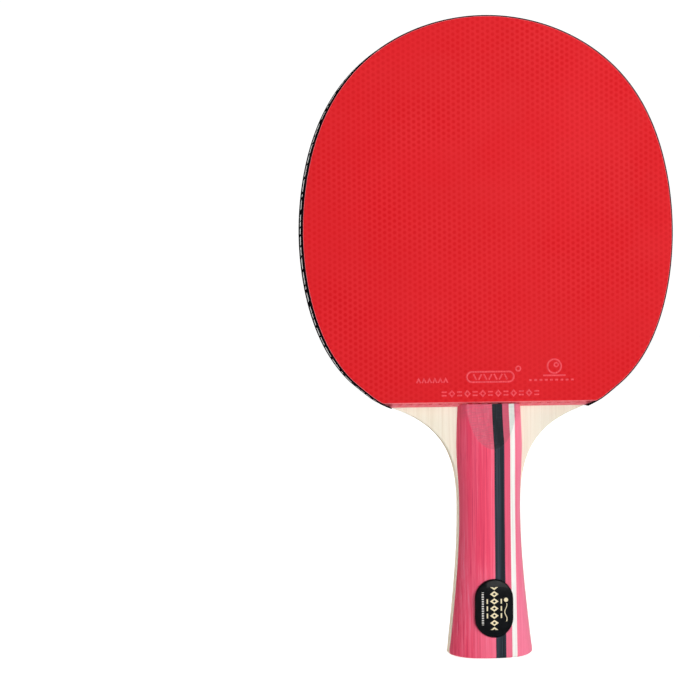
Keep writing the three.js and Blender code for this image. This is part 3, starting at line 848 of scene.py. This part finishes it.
def merge(shells):
    s = Shell()
    for t in shells:
        base = len(s.v)
        s.v.extend(t.v)
        s.f.extend(tuple(i + base for i in f) for f in t.f)
        s.m.extend(t.m)
    return s


def cut_faces(shell, tol=0.02):
    """Marks the faces that lie on the slanted cut with material 1."""
    for k, f in enumerate(shell.f):
        ok = all(abs(shell.v[i][2] - cut_z(shell.v[i][1])) < tol and abs(shell.v[i][0]) < 60 for i in f)
        if ok:
            shell.m[k] = 1


def topsheet():
    skin = Shell()
    rings = [xz(sheet_ring(PIP_TOP), -PIP_TOP), xz(sheet_ring(TOP_OUT - 0.14), -(TOP_OUT - 0.14))]
    for k in range(1, 4):
        a = math.pi / 2 * k / 3
        rings.append(xz(inset(sheet_ring(TOP_OUT - 0.14), 0.14 * (1 - math.cos(a))), -(TOP_OUT - 0.14 + 0.14 * math.sin(a))))
    skin.rings(rings)
    n = len(rings[0])
    for k in range(1, 4):
        for i in range(n):
            skin.m[k * n + i] = 1
    cut_faces(skin)
    # the skin's underside and the wall behind the pips also take the darker pips material: painted shade in the gaps
    skin.m[-2] = 2
    low = cut_z(SPONGE_OUT) + PIP_ROWS + 0.3
    rest = Shell()
    rest.rings([xz(sheet_ring(0, 0, low), -SPONGE_OUT), xz(sheet_ring(0, 0, low), -PIP_TOP - 0.0)], mat=2)
    return merge([skin, rest] + pips() + marks())


def sponge():
    s = Shell()
    s.rings([xz(sheet_ring(y), -y) for y in (FACE_OUT, FACE_OUT + 0.7, FACE_OUT + 1.4, SPONGE_OUT)])
    return s


front_top = topsheet()
front_sp = sponge()
build("front_topsheet_fine", front_top, [M_RED, M_RED_CUT, M_RED_PIP_SHADE, M_RED_CREST_HIGHLIGHT], "front_topsheet", weld=1e-7)
build("back_topsheet_fine", turned(front_top), [M_BLACK, M_BLACK_CUT, M_BLACK_PIP_SHADE, M_BLACK_CREST_HIGHLIGHT], "back_topsheet", weld=1e-7)
sp1 = build("front_sponge_fine", front_sp, [M_SPONGE], "front_sponge")
sp2 = build("back_sponge_fine", turned(front_sp), [M_SPONGE], "back_sponge")


# ------------------------------------------------------------------ edge tape
def edge_tape():
    right = [p for p in blade_right if p[1] > CUT_Z + 0.3]
    end = np.array([rim_x(CUT_Z + 0.15), CUT_Z + 0.15])
    right = right + [end]
    path = np.array(right[::-1] + [np.array([-p[0], p[1]]) for p in right[1:]])
    seg = np.linalg.norm(np.diff(path, axis=0), axis=1)
    arc = np.concatenate([[0], np.cumsum(seg)])
    prof = []   # (offset outwards, y), round the section
    t = TAPE_HALF
    for y in np.linspace(-t, t, 15):
        # the outer skin: softly rounded edges that hug the rubber
        e = abs(y) / t
        off = TAPE_OUT - 0.07 * max(0.0, (e - 0.93) / 0.07) ** 1.5
        prof.append((off, y))
    for y in np.linspace(t, -t, 5):
        prof.append((TAPE_IN, y))
    s = Shell()
    m, n = len(prof), len(path)
    rows, arcs, widths = [], [], []
    offs = {round(o, 5): inset(path, -o, False) for o, _ in prof}
    # path runs right to left over the top: its outside is on the left-hand side
    test = inset(path, -1.0, False)
    if np.abs(test).max() < np.abs(path).max():
        offs = {round(o, 5): inset(path, o, False) for o, _ in prof}
    for i in range(n):
        for o, y in prof:
            q = offs[round(o, 5)][i]
            rows.append((q[0], y, q[1]))
            arcs.append(arc[i])
            widths.append(y)
    faces = []
    for i in range(n - 1):
        for j in range(m):
            l = (j + 1) % m
            faces.append((i * m + j, i * m + l, (i + 1) * m + l, (i + 1) * m + j))
    faces.append(tuple(reversed(range(m))))
    faces.append(tuple((n - 1) * m + j for j in range(m)))
    s.add(rows, faces)
    return s, arcs, widths


tape, tape_arc, tape_width = edge_tape()
build("edge_tape_fine", tape, [M_TAPE], "edge_tape", attrs={"arc": tape_arc, "across": tape_width})


# ------------------------------------------------------------------ handle scales
def stadium(r, half, cz, steps=24):
    pts = []
    for k in range(steps + 1):
        a = math.pi * k / steps
        pts.append((r * math.cos(a), cz + half + r * math.sin(a)))
    for k in range(steps + 1):
        a = math.pi + math.pi * k / steps
        pts.append((r * math.cos(a), cz - half + r * math.sin(a)))
    return np.array(pts)


def z_stations():
    zs = [0, 0.05, 0.15, 0.3, 0.5, 0.75, 1.0, 1.25, 1.6, 2.1, 2.6, 3.0, 3.6, 4.5, 6.0]
    zs += list(np.arange(8.0, HANDLE_L - SCOOP_L - 2.0, 1.9))
    zs += list(np.arange(HANDLE_L - SCOOP_L - 1.6, HANDLE_L - 1.9, 0.36))
    zs += [HANDLE_L - d for d in (1.8, 1.5, 1.2, 0.9, 0.6, 0.3, 0.0)]
    zs += [HANDLE_TOP - d for d in (1.0, 0.8, 0.6, 0.42, 0.3, 0.22, 0.11, 0.04, 0.0)]
    return zs


CROWN_TIP = table(SCALE_H, HANDLE_L - SCOOP_L)
CROWN_TOP = table(SCALE_H, HANDLE_L)


def section(z):
    """(W of the whole oval, H, half-width at the foot, foot height) at a level."""
    w = table(SCALE_W, z)
    w = min(w, CORNER_W - SCALE_STEP) - round_in(z, BUTT_R - 0.1) - round_in(HANDLE_TOP - z, 0.4)
    h = table(SCALE_H, z) - 0.012 - round_in(z, 0.9) - round_in(HANDLE_TOP - z, 0.3)
    ww = w / (1 - (FACE_OUT / h) ** POWER) ** (1 / POWER)
    foot = FACE_OUT + max(0.0, z - HANDLE_L) * (TOP_OUT - FACE_OUT) / CUT_RISE
    if foot > FACE_OUT:
        w = ww * (1 - (foot / h) ** POWER) ** (1 / POWER)
    return ww, h, w, foot


def scoop_y(z, x):
    hollow = (x - SCOOP_X) ** 2 / (2 * SCOOP_HOLLOW)
    return scoop_line(z) + hollow


def scoop_line(z):
    s = (z - (HANDLE_L - SCOOP_L)) / SCOOP_L
    crown = CROWN_TIP + (CROWN_TOP - CROWN_TIP) * max(s, -0.2)
    if s < 0:
        return crown + 0.9 * (-s) * SCOOP_L * 0.35 + 0.0
    return crown - SCOOP_D * (1 - (1 - min(s, 1.0)) ** SCOOP_P)


def soft_min(a, b, k):
    h = max(k - abs(a - b), 0.0) / k
    return min(a, b) - h * h * k * 0.25


def butt_z(x):
    return BUTT_RISE * (max(0.0, abs(x) - BUTT_FLAT) / 9) ** 2


def strip(x0, x1, nx):
    """One lamination, from x0 to x1, on the front (-Y) side; also gives its scoop mask."""
    verts, mask = [], []
    zs = z_stations()
    n = nx + 1
    for z in zs:
        ww, h, w, foot = section(z)
        def angle(x):
            c = max(-1.0, min(1.0, abs(x) / ww)) ** (POWER / 2)
            a = math.acos(c)
            return math.pi - a if x < 0 else a
        t_base = math.asin((foot / h) ** (POWER / 2))
        ta = math.pi - t_base if x0 < -w else angle(x0)
        tb = t_base if x1 > w else angle(x1)
        top, low = [], []
        for k in range(n):
            t = ta + (tb - ta) * k / nx
            c, s_ = math.cos(t), math.sin(t)
            x = ww * math.copysign(abs(c) ** (2 / POWER), c)
            y = h * abs(s_) ** (2 / POWER)
            if k == 0:
                x = x0 if x0 >= -w else -w
                if x0 < -w:
                    y = foot
            if k == nx:
                x = x1 if x1 <= w else w
                if x1 > w:
                    y = foot
            cutness = 0.0
            if z > HANDLE_L - SCOOP_L - 1.7:
                sc = scoop_y(z, x)
                cutness = min(1.0, max(0.0, (y - sc) / 0.10 + 0.2))
                end = min(1.0, max(0.0, (z - HANDLE_L + 6.5) / 5.0))
                cutness = max(cutness, 0.6 * end * end * (3 - 2 * end))
                y = max(foot, soft_min(y, sc, 0.10))
            zz = z
            if z < 6.0:
                zz = z + butt_z(x) * (1 - z / 6.0)
            top.append((x, -y, zz, cutness))
            low.append((x, -foot, zz, 0.0))
        verts.append((top, low))
    s = Shell()
    nz = len(zs)
    pts = []
    for top, low in verts:
        for p in top:
            pts.append(p)
        for p in low:
            pts.append(p)
    s.v = [p[:3] for p in pts]
    mask = [p[3] for p in pts]
    def T(i, k):
        return i * 2 * n + k
    def L(i, k):
        return i * 2 * n + n + k
    for i in range(nz - 1):
        for k in range(nx):
            s.f.append((T(i, k), T(i, k + 1), T(i + 1, k + 1), T(i + 1, k)))
            s.f.append((L(i, k), L(i + 1, k), L(i + 1, k + 1), L(i, k + 1)))
        s.f.append((T(i, 0), T(i + 1, 0), L(i + 1, 0), L(i, 0)))
        s.f.append((T(i, nx), L(i, nx), L(i + 1, nx), T(i + 1, nx)))
    for k in range(nx):
        s.f.append((T(0, k), L(0, k), L(0, k + 1), T(0, k + 1)))
        s.f.append((T(nz - 1, k), T(nz - 1, k + 1), L(nz - 1, k + 1), L(nz - 1, k)))
    s.m = [0] * len(s.f)
    return s, mask


pocket_shell = Shell()
pocket_shell.rings([xz(stadium(BADGE_R + POCKET_GAP, BADGE_S, BADGE_Z), y) for y in (-POCKET_FLOOR, -20.0)])
pocket_me = bpy.data.meshes.new("pocket")
pocket_me.from_pydata([(x * MM, y * MM, z * MM) for x, y, z in pocket_shell.v], [], pocket_shell.f)
bm = bmesh.new()
bm.from_mesh(pocket_me)
bmesh.ops.recalc_face_normals(bm, faces=bm.faces)
bm.to_mesh(pocket_me)
bm.free()
pocket = bpy.data.objects.new("pocket", pocket_me)
bpy.context.scene.collection.objects.link(pocket)

STRIPS = [("left", M_PINK, "red_dyed_wood", 44), ("black_strip", M_DARK, "black_dyed_wood", 11),
          ("middle", M_PINK, "red_dyed_wood", 9), ("white_strip", M_WHITE, "white_wood", 8),
          ("right", M_PINK, "red_dyed_wood", 24)]
for i, (name, mat, slot_name, nx) in enumerate(STRIPS):
    shell, mask = strip(STRIP_X[i], STRIP_X[i + 1], nx)
    build(f"front_scale_{name}_fine", shell, [mat], f"front_scale_{name}", sharp=38.0,
          attrs={"cut": mask}, cut_by=pocket if i < 4 else None)
    build(f"back_scale_{name}_fine", turned(shell), [mat], f"back_scale_{name}", sharp=38.0,
          attrs={"cut": mask})
bpy.data.objects.remove(pocket)

# ------------------------------------------------------------------ badge
s = Shell()
prof = [(0.12, POCKET_FLOOR), (0.0, POCKET_FLOOR + 0.08), (0.0, LABEL_TOP)]
s.rings([xz(stadium(BADGE_R - d, BADGE_S, BADGE_Z), -y) for d, y in prof])
build("badge_base_fine", s, [M_LABEL], "badge_base")
s = Shell()
prof = [(0.0, LABEL_TOP), (0.0, 11.45)]
for k in range(1, 9):
    a = math.pi / 2 * k / 8
    prof.append((0.52 * (1 - math.cos(a)), 11.45 + 0.52 * math.sin(a)))
for k in range(1, 13):
    t = k / 12
    prof.append((0.52 + (BADGE_R - 1.0) * t, 11.97 + 0.27 * (1 - (1 - t) ** 2.2)))
s.rings([xz(stadium(BADGE_R - d, BADGE_S, BADGE_Z), -y) for d, y in prof])
build("badge_dome_fine", s, [M_DOME], "badge_dome", sharp=60)

# ------------------------------------------------------------------ floor, light, camera
world = bpy.data.worlds.new("studio")
bpy.context.scene.world = world
world.use_nodes = True
wt = world.node_tree
wt.nodes.clear()
w_out = wt.nodes.new("ShaderNodeOutputWorld")
w_bg = wt.nodes.new("ShaderNodeBackground")
w_soft = wt.nodes.new("ShaderNodeBackground")
w_mix = wt.nodes.new("ShaderNodeMixShader")
w_path = wt.nodes.new("ShaderNodeLightPath")
w_bg.inputs[0].default_value = (1, 1, 1, 1)
w_bg.inputs[1].default_value = 1.05
w_co = wt.nodes.new("ShaderNodeTexCoord")
w_sep = wt.nodes.new("ShaderNodeSeparateXYZ")
w_ramp = wt.nodes.new("ShaderNodeValToRGB")
w_ramp.color_ramp.elements[0].position = 0.25
w_ramp.color_ramp.elements[0].color = (0.30, 0.30, 0.30, 1)
w_ramp.color_ramp.elements[1].position = 0.60
w_ramp.color_ramp.elements[1].color = (1.0, 1.0, 1.0, 1)
wt.links.new(w_co.outputs["Generated"], w_sep.inputs[0])
wt.links.new(w_sep.outputs[2], w_ramp.inputs[0])
wt.links.new(w_ramp.outputs[0], w_soft.inputs[0])
w_soft.inputs[1].default_value = 0.14
wt.links.new(w_path.outputs["Is Camera Ray"], w_mix.inputs[0])
wt.links.new(w_soft.outputs[0], w_mix.inputs[1])
wt.links.new(w_bg.outputs[0], w_mix.inputs[2])
wt.links.new(w_mix.outputs[0], w_out.inputs[0])

bpy.ops.mesh.primitive_plane_add(size=12.0, location=(0, 0, 0))
floor = bpy.context.object
floor.name = "floor"
fn = Nodes("floor")
fx, fy, fz, fv = fn.co()
far = fn.m("SQRT", fn.m("ADD", fn.m("MULTIPLY", fx, fx), fn.m("MULTIPLY", fy, fy)))
fn.set(Base_Color=(0.42, 0.42, 0.42), Roughness=0.9)
fn.bsdf.inputs["Specular IOR Level"].default_value = 0.1
fn.bsdf.inputs["Emission Color"].default_value = (1, 1, 1, 1)
fn.set(Emission_Strength=fn.map(far, 200.0, 900.0, 0.87, 0.96))
f_path = fn.t.nodes.new("ShaderNodeLightPath")
f_map = fn.bsdf.inputs["Emission Strength"].links[0].from_socket
fn.set(Emission_Strength=fn.m("MULTIPLY", f_map, fn.map(f_path.outputs["Is Camera Ray"], 0.0, 1.0, 0.48, 1.0)))
floor.data.materials.append(fn.mat)


def area(name, loc, target, size, power, size_y=None):
    li = bpy.data.lights.new(name, "AREA")
    li.shape = "RECTANGLE"
    li.size = size
    li.size_y = size_y or size
    li.energy = power
    ob = bpy.data.objects.new(name, li)
    ob.location = loc
    d = Vector(target) - Vector(loc)
    ob.rotation_euler = d.to_track_quat("-Z", "Y").to_euler()
    bpy.context.scene.collection.objects.link(ob)
    return ob


area("key", (0.71, -1.46, 0.78), (0, 0, 0.12), 0.9, 15.6)
area("low", (0.40, -1.50, 0.03), (0, 0, 0.12), 0.5, 6.2)
area("fill", (-1.1, -1.3, 0.9), (0, 0, 0.12), 1.0, 0.5)
area("top", (0.0, -0.2, 1.6), (0, 0, 0.1), 1.0, 4.0)
area("side", (1.3, -0.15, 0.35), (0, 0, 0.10), 0.5, 1.3)
area("far_side", (-1.3, 0.15, 0.35), (0, 0, 0.10), 0.5, 0.3)
area("back_key", (-0.71, 1.46, 0.78), (0, 0, 0.12), 0.9, 15.6)
area("back_low", (-0.40, 1.50, 0.03), (0, 0, 0.12), 0.5, 6.2)
area("back_fill", (1.1, 1.3, 0.9), (0, 0, 0.12), 1.0, 2.0)

# the camera looks from slightly left of the paddle's own axis, with a small roll
AZ, EL, DIST, LENS, ROLL = -10.17, 1.56, 1.0, 126.8, 0.47
PX = (487.1, 350.4)          # where the paddle's axis falls at mid-height, in a 700 frame
ANCHOR_Z = 0.1235
cam_data = bpy.data.cameras.new("camera")
cam_data.lens = LENS
cam_data.sensor_width = 36.0
cam_data.sensor_fit = "HORIZONTAL"
cam_data.dof.use_dof = False
cam = bpy.data.objects.new("camera", cam_data)
bpy.context.scene.collection.objects.link(cam)
a, e = math.radians(AZ), math.radians(EL)
anchor = Vector((0, 0, ANCHOR_Z))
cam_pos = anchor + DIST * Vector((math.sin(a) * math.cos(e), -math.cos(a) * math.cos(e), math.sin(e)))
to_anchor = (anchor - cam_pos).normalized()
right = to_anchor.cross(Vector((0, 0, 1))).normalized()
up = right.cross(to_anchor).normalized()
f_px = LENS / 36.0 * 700.0
# turn the view so that the anchor lands on PX, then roll about the view axis
ax = math.atan((PX[0] - 350.0) / f_px)
ay = math.atan((350.0 - PX[1]) / f_px)
fwd = (to_anchor * math.cos(ax) - right * math.sin(ax)).normalized()
right = fwd.cross(up).normalized()
up = right.cross(fwd).normalized()
fwd = (fwd * math.cos(ay) - up * math.sin(ay)).normalized()
up = right.cross(fwd).normalized()
roll = math.radians(ROLL)
# rolling about the anchor's own ray keeps it in place
rot = Matrix.Rotation(roll, 3, to_anchor)
fwd, right, up = rot @ fwd, rot @ right, rot @ up
m = Matrix((right, up, -fwd)).transposed().to_4x4()
m.translation = cam_pos
cam.matrix_world = m
bpy.context.scene.camera = cam
bpy.context.scene.view_settings.view_transform = "Standard"
bpy.context.scene.view_settings.look = "None"
